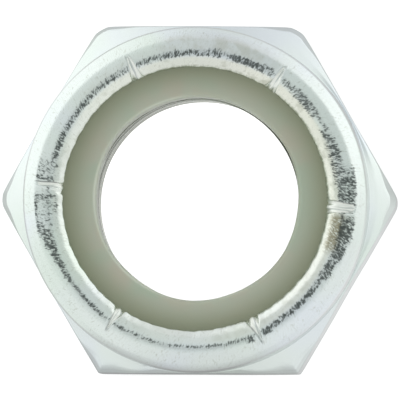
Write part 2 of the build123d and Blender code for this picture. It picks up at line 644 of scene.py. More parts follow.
@dataclass
class SteelBody:
    """The zinc-plated steel nut: wrench flats, collar rolled and crimped over the ring, recess and bore.

    Its profile of rows (radius, height) runs from the foot of the bore outwards, up the outside, over the
    roll and the lip, into the recess and back down the bore, so the first and the last row meet. A shift is
    how far a part is set over along x and y.
    """

    flats: WrenchFlats = field(default_factory=WrenchFlats)
    thread: Thread = field(default_factory=Thread)
    crimps: Sequence[Crimp] = CRIMPS
    craze_and_reflection_patches: Sequence[Mark] = CRAZE_AND_REFLECTION_PATCHES
    stains: Sequence[Mark] = STAINS
    reflected_grey_patches: Sequence[Mark] = REFLECTED_GREY_PATCHES
    column_runs: tuple[tuple[float, float, int], ...] = (  # in degrees from each corner, with their columns
        (-30.0, -7.8, 16),
        (-7.8, -0.6, 40),
        (-0.6, 5.0, 16),
        (5.0, 30.0, 16),
    )
    bearing_rim: float = 11.3
    bearing_slope: float = 30.0
    bearing_rounding: float = 0.12
    chamfer_rounding: float = 0.16
    shoulder_slope: float = 32.0
    band_share: float = 0.7
    band_least: float = 0.01
    collar: float = 11.76
    collar_foot: float = 11.85
    collar_rounding: float = 0.05
    collar_rows: int = 9  # of the outside's rows, those of the collar's wall and foot
    collar_shift: Span = (-0.065, -0.04)
    bore_shift: Span = (-0.04, -0.03)
    bore_lean: Span = (0.18, -0.15)
    shift_fade: float = 0.3
    height: float = 19.05
    crest: float = 10.105
    crest_shift: Span = (0.0, -0.135)
    rise: float = 1.58
    roll_power: float = 2.2
    roll_steps: int = 24
    lip_edge: float = 9.01
    lip_fall: float = 0.42
    lip_sag: Span = (0.14, 325.0)  # how much further it falls, and towards which angle in degrees
    lip_steps: int = 14
    lip_rounding: float = 0.13
    lip_edge_steps: int = 6
    lip_foot: float = UNDERSIDE
    lip_rows: int = 6  # of the pocket's rows, those of the lip's face and underside
    lip_waves: Waves = (
        (2, 0.02, 0.4),
        (3, 0.02, 2.1),
        (5, 0.014, 4.0),
        (11, 0.009, 1.0),
        (17, 0.008, 3.0),
        (31, 0.01, 0.5),
        (43, 0.012, 1.2),
        (61, 0.014, 2.6),
        (79, 0.01, 0.9),
    )
    recess: float = 10.3
    recess_floor: float = SEAT
    recess_roundings: tuple[float, ...] = (0.2, 0.3, 0.2)
    # ring of crazing about the crest, partly a painted dark reflection
    craze_ring: float = 0.74
    craze_radius: float = 10.07
    craze_shift: float = -0.105
    craze_waves: Waves = ((5, 0.015, 1.0), (13, 0.015, 0.0), (37, 0.012, 2.0))
    craze_width: float = 0.155
    craze_width_waves: Waves = ((1, 0.035, 0.0), (3, 0.015, 0.0), (7, 0.02, 2.0), (19, 0.02, 1.0))
    # where the painted highlight lies inside the crest, and how much stronger it is towards one side
    highlight_band: Span = (-0.15, -0.5)  # from the crest
    highlight_level: float = 0.6
    highlight_swing: float = 0.4
    highlight_side: float = 50.0  # in degrees
    # where painted shade and the ring's painted reflection lie along the lip's edge
    rim: Span = (0.14, 0.05)  # from the lip's edge
    crimp_depth: float = 0.06  # depth at which a crimp's finish is complete
    crimp_cover: float = 0.8  # how much of the other finishes a crimp wipes away
    upright: Span = (0.9, 0.99)  # steepness between which an outside surface becomes a wall

    def make(self, material: bpy.types.Material) -> None:
        """Makes the steel body in its finish."""
        points, marks = self.surface()
        make_piece("steel_body", points, marks, material, "nut_body")

    def columns(self) -> Grid:
        """Angles of the grid's columns, closest together from each crimp to the corner beside it.

        Returns:
            The angles once round, with the first one again at the end.
        """
        sixth = np.concatenate([np.linspace(*run, endpoint=False) for run in self.column_runs])
        turns = (sixth + 360 / SIDES * np.arange(SIDES)[:, None]).ravel()
        return np.radians(np.append(turns, turns[0] + 360))

    def outside(self, angle: Grid) -> Grid:
        """Rows of the bearing face, flats, shoulder and collar wall, as two chains of rounded straight runs.

        Args:
            angle: angle of each column.

        Returns:
            An array of rows by two (radius, height) by columns.
        """
        reach = self.flats.reach(angle)
        band, rounding = self.flats.band(angle)
        band = np.minimum(band, self.band_share * (reach - self.collar_foot) + self.band_least)
        low = (reach - self.bearing_rim) * tangent(self.bearing_slope)
        high = self.flats.height - (reach - band - self.collar_foot) * tangent(self.shoulder_slope)
        foot = high - band * tangent(self.flats.band_slope)
        middle = (low + foot) / 2
        base = [
            (self.thread.mouth, 0.0),
            (self.bearing_rim, 0.0),
            (reach, low),
            (reach, middle),
        ]
        collar = [
            (reach, middle),
            (reach, foot),
            (reach - band, high),
            (self.collar_foot, self.flats.height),
            (self.collar, self.height - self.rise),
        ]
        base_radii = (self.bearing_rounding, self.chamfer_rounding)
        collar_radii = (rounding, rounding, self.collar_rounding)
        return np.concatenate([
            rounded_chain(base, base_radii, arcs=(2, 3), runs=(3, 3, 3)),
            rounded_chain(collar, collar_radii, arcs=(5, 6, 3), runs=(3, 4, 5, 4))[1:],
        ])

    def crest_radius(self, angle: Grid) -> Grid:
        """Radius of the roll's highest line, which the rolling tool left a little off the axis."""
        return self.crest + self.crest_shift[0] * np.cos(angle) + self.crest_shift[1] * np.sin(angle)

    def lip(self, angle: Grid) -> Grid:
        """Rows of the roll, the lip that falls inwards from its crest, and the lip's rounded edge.

        The roll is a superellipse, (u / roll)^p + (v / rise)^p = 1, outwards and down from the crest. The lip
        and its edge are arcs with points at centre + radius * (sin a, cos a), a being the slope. The lip
        falls further on one side, by sag * ((1 + cos t) / 2)^3, t being the angle from there.

        Args:
            angle: angle of each column.

        Returns:
            An array of rows by two (radius, height) by columns.
        """
        crest = self.crest_radius(angle)
        sag, side = self.lip_sag
        drop = self.lip_fall + sag * ((1 + np.cos(angle - math.radians(side))) / 2) ** 3
        span = crest - self.lip_edge
        bend = (span**2 + drop**2) / (2 * drop)
        centre = self.height - bend
        edge_radius = self.lip_edge + self.lip_rounding
        edge_height = centre + np.sqrt((bend - self.lip_rounding) ** 2 - (crest - edge_radius) ** 2)
        meet = np.arctan2(crest - edge_radius, edge_height - centre)
        out = np.radians(np.linspace(90, 0, self.roll_steps + 1))[1:, None]
        fall = np.linspace(0, 1, self.lip_steps + 1)[1:, None] * meet
        over = meet + np.linspace(0, 1, self.lip_edge_steps + 1)[1:, None] * (math.pi / 2 - meet)
        power = 2 / self.roll_power
        roll = [
            crest + (self.collar - crest) * np.sin(out) ** power,
            self.height - self.rise + self.rise * np.abs(np.cos(out)) ** power + np.zeros_like(crest),
        ]
        face = [
            crest - bend * np.sin(fall),
            centre + bend * np.cos(fall),
        ]
        edge = [
            edge_radius - self.lip_rounding * np.sin(over),
            edge_height + self.lip_rounding * np.cos(over),
        ]
        return np.concatenate([np.stack(part, axis=1) for part in (roll, face, edge)])

    def pocket(self, start: Grid) -> Grid:
        """Rows from the lip's edge to the bore's mouth: the lip's face and underside, and the ring's recess.

        Args:
            start: height at which the lip's rounded edge ends, in every column.

        Returns:
            An array of rows by two (radius, height) by columns.
        """
        chain = [
            (self.lip_edge, start),
            (self.lip_edge, self.lip_foot),
            (self.recess, self.lip_foot),
            (self.recess, self.recess_floor),
            (self.thread.mouth, self.recess_floor),
        ]
        return rounded_chain(chain, self.recess_roundings, arcs=(2, 2, 3), runs=(3, 1, 1, 1))

    def surface(self) -> tuple[Grid, dict[str, Grid]]:
        """The whole surface: the profile turned about the axis, then moved, made uneven and crimped.

        Collar, flats and bore are each set over by a shift, and the bore leans by a further one that falls to
        nothing at the recess's floor. The lip's edge wanders, and gives way at the crimps' feet. The depth of
        the crimps fades to nothing at the lip's underside.

        Returns:
            Points, rows by columns by three in millimetres, and the marks that the finish reads.
        """
        angle = self.columns()
        outside = self.outside(angle)
        lip = self.lip(angle)
        bore = self.thread.rows(angle)
        profile = np.concatenate([outside, lip, self.pocket(lip[-1, 1])[1:], bore[1:]])
        radius, height = profile[:, 0], profile[:, 1]
        rows = len(profile)
        top = len(outside)
        inner = top + len(lip) + self.lip_rows
        collar = row_band(rows, top - self.collar_rows, inner)
        rolled = row_band(rows, top - 1, inner) * smooth(self.lip_foot, lip[-1, 1], height)
        bored = row_band(rows, rows - len(bore), rows) + row_band(rows, 0, 1)
        edge = (1 - smooth(self.lip_edge, self.crest_radius(angle), radius)) * rolled
        radius = radius + edge * ripple(angle, self.lip_waves)
        low = bored * (1 - height / self.recess_floor)
        out = smooth(self.collar_foot, self.collar_foot + self.shift_fade, radius) * (1 - collar)
        moves = [
            (collar, self.collar_shift),
            (out, self.flats.shift),
            (bored, self.bore_shift),
            (low, self.bore_lean),
        ]
        x = radius * np.cos(angle) + sum(share * shift[0] for share, shift in moves)
        y = radius * np.sin(angle) + sum(share * shift[1] for share, shift in moves)
        pressed = sum(crimp.drop(x, y, self.lip_edge) for crimp in self.crimps)
        push = edge * sum(crimp.push(x, y, self.lip_edge) for crimp in self.crimps)
        pushed = (x + push * np.cos(angle), y + push * np.sin(angle))
        points = np.stack([*pushed, height - rolled * pressed], axis=-1)
        crimped = smooth(0.0, self.crimp_depth, pressed) * rolled
        marks = self.marks(np.hypot(x, y), angle, rolled, crimped)
        # painted shadow lines along the crimps' sides
        marks["crease_shadow_mark"] = rolled * sum(crimp.crease(x, y, self.lip_edge) for crimp in self.crimps)
        marks["bored"] = bored + np.zeros_like(radius)
        # upright walls, whose finish is darker partly as painted shade
        marks["walled"] = self.walled(outside, rows)
        return points, marks

    def walled(self, outside: Grid, rows: int) -> Grid:
        """Where the outside stands upright: a soft step of |dz| / sqrt(dr^2 + dz^2) along the profile's rows.

        Args:
            outside: rows of the outside by two (radius, height) by columns.
            rows: how many rows the whole profile has.

        Returns:
            The mask, rows by columns, which is 0 past the outside.
        """
        across, up = np.gradient(outside, axis=0).transpose(1, 0, 2)
        steep = np.abs(up) / np.maximum(np.hypot(across, up), TINY)
        mask = np.zeros((rows, outside.shape[2]))
        mask[:len(outside)] = smooth(*self.upright, steep)
        return mask

    def marks(self, radius: Grid, angle: Grid, rolled: Grid, crimped: Grid) -> dict[str, Grid]:
        """Where the finish shows crazing with painted dark reflection, stains, painted grey reflection,
        crimps, working and a painted highlight.

        The crazing, partly a painted dark reflection, is a narrow ring, strength * exp(-((radius - middle) /
        width)^2), that wanders about the crest, or a patch where that is stronger. The painted highlight lies
        inside the crest, most on one side.

        Args:
            radius: distance of every point from the axis.
            angle: angle of every column.
            rolled: 1 on the roll and the lip, 0 elsewhere.
            crimped: 1 inside the crimps.

        Returns:
            The masks by name.
        """
        turn = np.degrees(angle)
        crest = self.crest_radius(angle)
        # crazing about the crest, partly a painted dark reflection
        middle = self.craze_radius + self.craze_shift * np.sin(angle) + ripple(angle, self.craze_waves)
        width = self.craze_width + ripple(angle, self.craze_width_waves)
        ring = self.craze_ring * np.exp(-(((radius - middle) / width) ** 2))
        crazed_and_reflection = np.maximum.reduce([ring] + [mark.cover(turn, radius) for mark in self.craze_and_reflection_patches])
        stained = np.maximum.reduce([mark.cover(turn, radius) for mark in self.stains])
        # painted grey reflection on the collar
        reflected_grey = np.maximum.reduce([mark.cover(turn, radius) for mark in self.reflected_grey_patches])
        # painted highlight inside the crest, strongest towards one side
        around = self.highlight_level + self.highlight_swing * np.cos(angle - math.radians(self.highlight_side))
        lip_highlight = smooth(crest + self.highlight_band[0], crest + self.highlight_band[1], radius) * around
        # painted shade along the lip's edge
        rim = smooth(self.lip_edge + self.rim[0], self.lip_edge + self.rim[1], radius)
        clear = rolled * (1 - self.crimp_cover * crimped)
        return {
            "crazed_and_reflection": crazed_and_reflection * clear,
            "stained": stained * clear,
            "reflected_grey": reflected_grey * clear,
            "crimped": crimped,
            "worked": rolled + np.zeros_like(radius),
            "lip_highlight": lip_highlight * clear,
            "rim": rim * rolled,
        }


# The nylon ring


@dataclass
class NylonRing:
    """The captive ring: a flat-topped washer with rounded edges that stands in the recess."""

    bore: float = 6.93
    rim: float = 10.25
    foot: float = SEAT
    top: float = UNDERSIDE
    bore_rounding: float = 0.3
    rim_rounding: float = 0.4
    bore_shift: Span = (0.07, -0.01)
    bore_waves: Waves = ((3, 0.012, 0.3), (6, 0.035, -0.8), (23, 0.004, 2.0))
    count: int = 240

    def make(self, material: bpy.types.Material) -> None:
        """Makes the nylon ring in its finish."""
        make_piece("nylon_ring", self.grid(), {}, material, "nylon_insert")

    def grid(self) -> Grid:
        """The ring's surface: its rounded section turned about the axis, the bore shifted and out of round.

        Returns:
            Rows by columns by three, in millimetres.
        """
        angle = np.linspace(0, TURN, self.count + 1)
        middle = (self.bore + self.rim) / 2
        chain = [
            (middle, self.foot),
            (self.rim, self.foot),
            (self.rim, self.top),
            (self.bore, self.top),
            (self.bore, self.foot),
            (middle, self.foot),
        ]
        radii = (self.rim_rounding, self.rim_rounding, self.bore_rounding, self.bore_rounding)
        section = rounded_chain(chain, radii, arcs=(6, 6, 8, 6), runs=(1, 3, 6, 8, 1)).reshape(-1, 2, 1)
        inner = 1 - smooth(self.bore, middle, section[:, 0])
        radius = section[:, 0] + inner * ripple(angle, self.bore_waves)
        height = np.broadcast_to(section[:, 1], radius.shape)
        x = radius * np.cos(angle) + inner * self.bore_shift[0]
        y = radius * np.sin(angle) + inner * self.bore_shift[1]
        return np.stack([x, y, height], axis=-1)


# Nodes


@dataclass(frozen=True)
class Ramp:
    """A smooth step between two levels: start at low, end at high."""

    low: float
    high: float
    start: float = 0.0
    end: float = 1.0


@dataclass(frozen=True)
class Lobe:
    """A step by how far a heading points towards a turn in degrees: 1 straight at it, -1 straight away."""

    turn: float
    ramp: Ramp


@dataclass(frozen=True)
class Noise:
    """Smooth noise, mostly between 0.3 and 0.7.

    The scale is how many features a unit of its place holds, the detail how many finer layers there are, and
    the roughness how strong each of them is.
    """

    scale: Number
    detail: float = 2.0
    roughness: float = 0.5


@dataclass(frozen=True)
class Strokes:
    """Marks that run outwards: noise read round the nut at full size and outwards at a share of it."""

    share: float
    noise: Noise


class Wiring:
    """Adds nodes to one node tree and links them."""

    def __init__(self, tree: bpy.types.NodeTree) -> None:
        """Takes the tree and empties it."""
        self.tree = tree
        tree.nodes.clear()

    def node(self, kind: str, inputs: dict | None = None, **settings: object) -> bpy.types.Node:
        """Adds one node.

        Args:
            kind: Blender's name for it, without ShaderNode for a shader node.
            inputs: values or sockets for its inputs, by name or number.
            settings: its own properties.

        Returns:
            The node.
        """
        made = self.tree.nodes.new(kind if kind.startswith("Node") else "ShaderNode" + kind)
        for name, value in settings.items():
            setattr(made, name, value)
        for name, value in (inputs or {}).items():
            self.feed(made.inputs[name], value)
        return made

    def feed(self, entry: Socket, value: object) -> None:
        """Links a socket to an input, or sets the input to a value.

        Args:
            entry: the input.
            value: the socket or value that it takes.
        """
        if isinstance(value, bpy.types.NodeSocket):
            self.tree.links.new(value, entry)
        else:
            entry.default_value = value

    def math(self, operation: str, *values: Number, clamp: bool = False) -> Socket:
        """Works out one step of arithmetic.

        Args:
            operation: Blender's name for the step.
            values: its operands.
            clamp: keeps the result between 0 and 1.

        Returns:
            The result.
        """
        made = self.node("Math", dict(enumerate(values)), operation=operation, use_clamp=clamp)
        return made.outputs[0]

    def swing(self, value: Socket, size: float, middle: float = 0.0) -> Socket:
        """A value's swing about a half, made larger or smaller: size * (value - 0.5) + middle."""
        return self.math("MULTIPLY_ADD", value, size, middle - size / 2)

    def vector(self, operation: str, *values: object) -> Socket:
        """Works out one step of vector arithmetic.

        Args:
            operation: Blender's name for the step.
            values: its operands.

        Returns:
            The resulting vector, or number for a length or a dot product.
        """
        made = self.node("VectorMath", dict(enumerate(values)), operation=operation)
        return made.outputs["Value" if operation in ("LENGTH", "DOT_PRODUCT") else "Vector"]

    def step(self, value: Socket, ramp: Ramp) -> Socket:
        """A smooth step of a value.

        Args:
            value: what is stepped.
            ramp: where the step lies, and its two levels.

        Returns:
            The stepped value.
        """
        entries = {0: value, 1: ramp.low, 2: ramp.high, 3: ramp.start, 4: ramp.end}
        return self.node("MapRange", entries, interpolation_type="SMOOTHSTEP").outputs[0]

    def mix(self, share: Number, first: object, second: object) -> Socket:
        """Mixes two colours by a share."""
        return self.node("Mix", {0: share, 6: first, 7: second}, data_type="RGBA").outputs[2]

    def between(self, share: Number, first: Number, second: Number) -> Socket:
        """A value a share of the way from one to another."""
        return self.node("Mix", {0: share, 2: first, 3: second}, data_type="FLOAT").outputs[0]

    def place(self) -> Socket:
        """The surface's own coordinates, in metres."""
        return self.node("TexCoord").outputs["Object"]

    def radius(self, place: Socket) -> Socket:
        """Distance of a place from the thread's axis."""
        return self.vector("LENGTH", self.vector("MULTIPLY", place, (1.0, 1.0, 0.0)))

    def noise(self, place: Socket, noise: Noise) -> Socket:
        """Reads noise at a place.

        Args:
            place: where it is read.
            noise: its size and fineness.

        Returns:
            The noise.
        """
        entries = {
            "Vector": place,
            "Scale": noise.scale,
            "Detail": noise.detail,
            "Roughness": noise.roughness,
        }
        return self.node("TexNoise", entries).outputs["Fac"]

    def towards(self, heading: Socket, turn: float) -> Socket:
        """How far a heading points towards a turn in degrees: the cosine of the angle between them."""
        aim = (math.cos(math.radians(turn)), math.sin(math.radians(turn)), 0.0)
        return self.vector("DOT_PRODUCT", heading, aim)

    def lobe(self, heading: Socket, lobe: Lobe) -> Socket:
        """The level of a lobe in a heading."""
        return self.step(self.towards(heading, lobe.turn), lobe.ramp)

    def group(self, tree: bpy.types.NodeTree, inputs: dict[str, object]) -> dict[str, Socket]:
        """Places a node group.

        Args:
            tree: the group.
            inputs: values for its inputs, by their names.

        Returns:
            Its outputs by name.
        """
        return dict(self.node("Group", inputs, node_tree=tree).outputs.items())


def solid(colour: Colour) -> tuple[float, float, float, float]:
    """A screen colour as the linear, opaque colour that a socket takes: ((c + 0.055) / 1.055)^2.4."""
    return (*(((value + 0.055) / 1.055) ** 2.4 for value in colour), 1.0)


def grey(tone: float) -> tuple[float, float, float, float]:
    """A grey of a screen tone, as a socket takes it."""
    return solid((tone, tone, tone))


def new_material(name: str) -> tuple[bpy.types.Material, Wiring]:
    """Makes a material with no nodes yet.

    Args:
        name: its name.

    Returns:
        The material and its wiring.
    """
    made = bpy.data.materials.new(name)
    made.use_nodes = True
    return made, Wiring(made.node_tree)


class Effects:
    """Shader node groups that both finishes use."""

    CLOUD_STEPS = (Ramp(0.42, 0.66), Ramp(0.44, 0.68))
    SECOND_CLOUDS = (0.031, 0.017, 0.023)
    GRAIN_DETAIL = 3.0
    GRAIN_ROUGHNESS = 0.6
    SPECKED_CELLS = 0.93
    SPECK = Ramp(0.22, 0.1)

    def __init__(self) -> None:
        """Builds each group once."""
        self.drift = self.colour_drift()
        self.grain = self.fine_grain()

    @staticmethod
    def empty_group(name: str, inputs: Titles, outputs: Titles) -> tuple:
        """Makes an empty group.

        Args:
            name: the group's name.
            inputs: name and socket type of each input.
            outputs: name and socket type of each output.

        Returns:
            The group, its wiring, the sockets that bring its inputs in, and its output node.
        """
        tree = bpy.data.node_groups.new(name, "ShaderNodeTree")
        wiring = Wiring(tree)
        for title, kind in inputs:
            tree.interface.new_socket(title, in_out="INPUT", socket_type=kind)
        for title, kind in outputs:
            tree.interface.new_socket(title, in_out="OUTPUT", socket_type=kind)
        return tree, wiring, wiring.node("NodeGroupInput").outputs, wiring.node("NodeGroupOutput")

    def colour_drift(self) -> bpy.types.NodeTree:
        """A colour that drifts towards two tints in broad clouds.

        Returns:
            The group.
        """
        inputs = [
            ("Colour", "NodeSocketColor"),
            ("First Tint", "NodeSocketColor"),
            ("Second Tint", "NodeSocketColor"),
            ("Clouds", "NodeSocketFloat"),
            ("Strength", "NodeSocketFloat"),
        ]
        tree, wiring, given, end = self.empty_group("colour_drift", inputs, [("Colour", "NodeSocketColor")])
        place = wiring.place()
        clouds = Noise(given["Clouds"])
        colour = given["Colour"]
        places = (place, wiring.vector("ADD", place, self.SECOND_CLOUDS))
        for where, step, tint in zip(places, self.CLOUD_STEPS, ("First Tint", "Second Tint")):
            share = wiring.math("MULTIPLY", wiring.step(wiring.noise(where, clouds), step), given["Strength"])
            colour = wiring.mix(share, colour, given[tint])
        wiring.feed(end.inputs["Colour"], colour)
        return tree

    def fine_grain(self) -> bpy.types.NodeTree:
        """Fine unevenness in two sizes: a height, and a speck in a few of its cells.

        Returns:
            The group.
        """
        inputs = [("Grains", "NodeSocketFloat"), ("Specks", "NodeSocketFloat")]
        outputs = [("Height", "NodeSocketFloat"), ("Specks", "NodeSocketFloat")]
        tree, wiring, given, end = self.empty_group("fine_grain", inputs, outputs)
        place = wiring.place()
        height = wiring.noise(place, Noise(given["Grains"], self.GRAIN_DETAIL, self.GRAIN_ROUGHNESS))
        wiring.feed(end.inputs["Height"], height)
        cells = wiring.node("TexVoronoi", {"Vector": place, "Scale": given["Specks"]})
        lot = wiring.node("SeparateColor", {0: cells.outputs["Color"]}).outputs[0]
        few = wiring.math("GREATER_THAN", lot, self.SPECKED_CELLS)
        spot = wiring.step(cells.outputs["Distance"], self.SPECK)
        wiring.feed(end.inputs["Specks"], wiring.math("MULTIPLY", few, spot))
        return tree


@dataclass(frozen=True)
class ZincPlating:
    """Bright zinc with a clear passivation, crazing where the collar was rolled, partly a painted dark
    reflection, and frosted by the punch, with painted highlight and shade streaks there.
    """

    effects: Effects
    colour: Colour = (0.91, 0.945, 0.93)
    green: Colour = (0.90, 0.95, 0.915)
    blue: Colour = (0.905, 0.935, 0.955)
    clouds: float = 150.0
    tint: float = 0.9
    # darker colour of the upright walls: partly their drawn finish, partly painted shade
    drawn_and_shade: Colour = (0.80, 0.825, 0.82)
    drawn_squeeze: float = 0.06
    drawn_noise: Noise = Noise(1500.0, 3.0, 0.6)
    drawn_lines: Ramp = Ramp(0.3, 0.6, 0.72, 1.0)
    tapped: Colour = (0.90, 0.91, 0.88)
    groove: Colour = (0.60, 0.62, 0.58)
    groove_noise: Noise = Noise(260.0, 1.0)
    groove_bands: Ramp = Ramp(0.42, 0.56)
    stroke_radius: float = 10.0
    stroke_lean: float = 0.03
    blotches: Strokes = Strokes(0.7, Noise(3.2, 2.0, 0.6))
    hatching: Strokes = Strokes(0.5, Noise(10.0, 1.0, 0.6))
    streaks: Strokes = Strokes(0.1, Noise(7.0, 1.0, 0.6))
    hatching_share: float = 0.6
    # dark colour of the crazing, partly painted reflection, and of the painted shade in the crimps
    crack_and_shade: Colour = (0.30, 0.33, 0.32)
    ragged_border: float = 4.4
    crack_limit: float = 0.61
    crack_gain: float = -0.28
    crack_edge: Ramp = Ramp(0.0, 0.22)
    crack_strength: Ramp = Ramp(0.03, 0.35, 0.0, 0.8)
    crack_shade: float = 0.15
    mottling: Noise = Noise(1300.0)
    # painted highlight: a cream sheen on the lip inside the crest
    highlight_cream: Colour = (0.93, 0.935, 0.87)
    highlight_share: float = 0.7
    # grime on the roll, also the colour of the painted shade along the lip's edge
    grime_and_shade: Colour = (0.66, 0.68, 0.60)
    # mottling that breaks the painted highlight into streaks
    highlight_mottling: Ramp = Ramp(0.5, 0.75, 0.0, 0.5)
    worked_grime: Ramp = Ramp(0.52, 0.72, 0.0, 0.3)
    # painted shade and greenish reflection of the ring along the lip's edge
    rim_shade: Ramp = Ramp(0.42, 0.62, 0.1, 0.6)
    # painted grey reflection on the collar
    reflected_grey_tone: Colour = (0.76, 0.77, 0.725)
    reflected_grey_mottling: Ramp = Ramp(0.35, 0.62, 0.45, 1.0)
    tan: Colour = (0.62, 0.605, 0.51)
    tan_mottling: Ramp = Ramp(0.3, 0.55)
    # pale frost of the stamped metal in the crimps, in streaks that are partly a painted highlight
    frost_and_highlight: Colour = (0.965, 0.98, 0.95)
    frost_highlight_streaks: Ramp = Ramp(0.38, 0.55, 0.3, 0.9)
    frost_metal: float = -0.45
    # painted shade streaks in the crimps
    shade_streaks: Ramp = Ramp(0.47, 0.36, 0.0, 0.32)
    # how dark the painted shadow lines beside the crimps are
    crease_shadow_share: float = 0.85
    grains: float = 2600.0
    specks: float = 900.0
    roughness: float = 0.22
    roughness_swing: float = 0.1
    crimp_roughness: float = 0.08
    worked_relief: float = 0.25
    grain_relief: float = 0.08
    relief: float = 0.04

    @staticmethod
    def mark(wiring: Wiring, name: str) -> Socket:
        """One of the values that the mesh carries."""
        return wiring.node("Attribute", attribute_name=name).outputs["Fac"]

    def masked(self, wiring: Wiring, name: str, value: Socket, ramp: Ramp) -> Socket:
        """A value that the mesh carries, times a step of another value."""
        return wiring.math("MULTIPLY", self.mark(wiring, name), wiring.step(value, ramp))

    @staticmethod
    def outwards(wiring: Wiring, spin: Socket, radius: Socket, strokes: Strokes) -> Socket:
        """Noise in strokes that run outwards, read at spin + (0, 0, share * radius).

        Args:
            wiring: the material's wiring.
            spin: place on a circle about the axis.
            radius: distance from the axis, in millimetres.
            strokes: how far the noise is stretched out, and its size.

        Returns:
            The noise.
        """
        rise = wiring.node("CombineXYZ", {2: wiring.math("MULTIPLY", radius, strokes.share)}).outputs[0]
        return wiring.noise(wiring.vector("ADD", spin, rise), strokes.noise)

    def strokes(self, wiring: Wiring) -> tuple[Socket, Socket, Socket]:
        """Fine marks that run outwards. The hatching leans by lean * radius about the axis.

        Args:
            wiring: the material's wiring.

        Returns:
            Blotches, hatching and long streaks.
        """
        place = wiring.vector("MULTIPLY", wiring.place(), (1 / MM, 1 / MM, 0.0))
        radius = wiring.vector("LENGTH", place)
        spin = wiring.vector("MULTIPLY", wiring.vector("NORMALIZE", place), (self.stroke_radius,) * 3)
        lean = {"Vector": spin, "Angle": wiring.math("MULTIPLY", radius, self.stroke_lean)}
        leaning = wiring.node("VectorRotate", lean, rotation_type="Z_AXIS").outputs[0]
        return (
            self.outwards(wiring, spin, radius, self.blotches),
            self.outwards(wiring, leaning, radius, self.hatching),
            self.outwards(wiring, spin, radius, self.streaks),
        )

    def base_colour(self, wiring: Wiring) -> Socket:
        """Clean plating: drifting tints, upright forming lines on the walls, which are darker partly by
        painted shade, and a bore banded by height.

        Args:
            wiring: the material's wiring.

        Returns:
            The colour.
        """
        tints = {
            "Colour": solid(self.colour),
            "First Tint": solid(self.green),
            "Second Tint": solid(self.blue),
            "Clouds": self.clouds,
            "Strength": self.tint,
        }
        colour = wiring.group(self.effects.drift, tints)["Colour"]
        place = wiring.place()
        upright = wiring.vector("MULTIPLY", place, (1.0, 1.0, self.drawn_squeeze))
        # walls darkened, partly by painted shade
        lines = self.masked(wiring, "walled", wiring.noise(upright, self.drawn_noise), self.drawn_lines)
        colour = wiring.mix(lines, colour, solid(self.drawn_and_shade))
        level = wiring.vector("MULTIPLY", place, (0.0, 0.0, 1.0))
        bands = wiring.step(wiring.noise(level, self.groove_noise), self.groove_bands)
        tapped = wiring.mix(bands, solid(self.tapped), solid(self.groove))
        return wiring.mix(self.mark(wiring, "bored"), colour, tapped)

    def soiled(self, wiring: Wiring, colour: Socket, pattern: Socket, blotches: Socket) -> Socket:
        """Lays a painted highlight, dirt with painted shade along the lip's edge, a painted grey reflection
        and the brown stain over the plating, each broken up by noise.

        Args:
            wiring: the material's wiring.
            colour: the clean plating.
            pattern: the blotches and the hatching together.
            blotches: the blotches alone.

        Returns:
            The colour.
        """
        mottling = wiring.noise(wiring.place(), self.mottling)
        # grime on the roll, painted shade along the lip's edge, and mottling of the painted highlight
        grime_and_shade = wiring.math(
            "MAXIMUM",
            self.masked(wiring, "worked", pattern, self.worked_grime),
            self.masked(wiring, "rim", blotches, self.rim_shade),
        )
        grime_and_shade = wiring.math("MAXIMUM", self.masked(wiring, "lip_highlight", mottling, self.highlight_mottling), grime_and_shade)
        # painted highlight on the lip
        highlight_cream = wiring.math("MULTIPLY", self.mark(wiring, "lip_highlight"), self.highlight_share)
        # painted grey reflection
        reflected_grey_tone = self.masked(wiring, "reflected_grey", mottling, self.reflected_grey_mottling)
        tan = self.masked(wiring, "stained", pattern, self.tan_mottling)
        colour = wiring.mix(highlight_cream, colour, solid(self.highlight_cream))
        colour = wiring.mix(grime_and_shade, colour, solid(self.grime_and_shade))
        colour = wiring.mix(reflected_grey_tone, colour, solid(self.reflected_grey_tone))
        return wiring.mix(tan, colour, solid(self.tan))

    def crazed_and_reflection(self, wiring: Wiring, streaks: Socket) -> Socket:
        """The crazing, partly a painted dark reflection, with a border stretched out into strokes: m + border
        * m * (1 - m) * (streaks - 0.5).

        Args:
            wiring: the material's wiring.
            streaks: the long streaks.

        Returns:
            The mask.
        """
        mask = self.mark(wiring, "crazed_and_reflection")
        border = wiring.math("MULTIPLY", mask, wiring.math("SUBTRACT", 1.0, mask))
        shift = wiring.math("MULTIPLY", border, wiring.swing(streaks, self.ragged_border))
        return wiring.math("ADD", mask, shift, clamp=True)

    def cracks(self, wiring: Wiring, crazed_and_reflection: Socket, pattern: Socket) -> Socket:
        """Dark crazing, partly a painted dark reflection: a step of pattern - (limit + gain * m), by a
        strength, plus painted shade * m, m being the crazing.

        Args:
            wiring: the material's wiring.
            crazed_and_reflection: the crazing, partly a painted dark reflection.
            pattern: the blotches and the hatching together.

        Returns:
            How much of the dark colour shows.
        """
        limit = wiring.math("MULTIPLY_ADD", crazed_and_reflection, self.crack_gain, self.crack_limit)
        cracks = wiring.step(wiring.math("SUBTRACT", pattern, limit), self.crack_edge)
        cracks = wiring.math("MULTIPLY", cracks, wiring.step(crazed_and_reflection, self.crack_strength))
        return wiring.math("MULTIPLY_ADD", crazed_and_reflection, self.crack_shade, cracks)

    def material(self) -> bpy.types.Material:
        """Builds the finish.

        Returns:
            The material.
        """
        made, wiring = new_material("zinc_plating")
        grain = wiring.group(self.effects.grain, {"Grains": self.grains, "Specks": self.specks})["Height"]
        blotches, hatching, streaks = self.strokes(wiring)
        pattern = wiring.between(self.hatching_share, blotches, hatching)
        crimped = self.mark(wiring, "crimped")
        crazed_and_reflection = self.crazed_and_reflection(wiring, streaks)
        colour = self.soiled(wiring, self.base_colour(wiring), pattern, blotches)
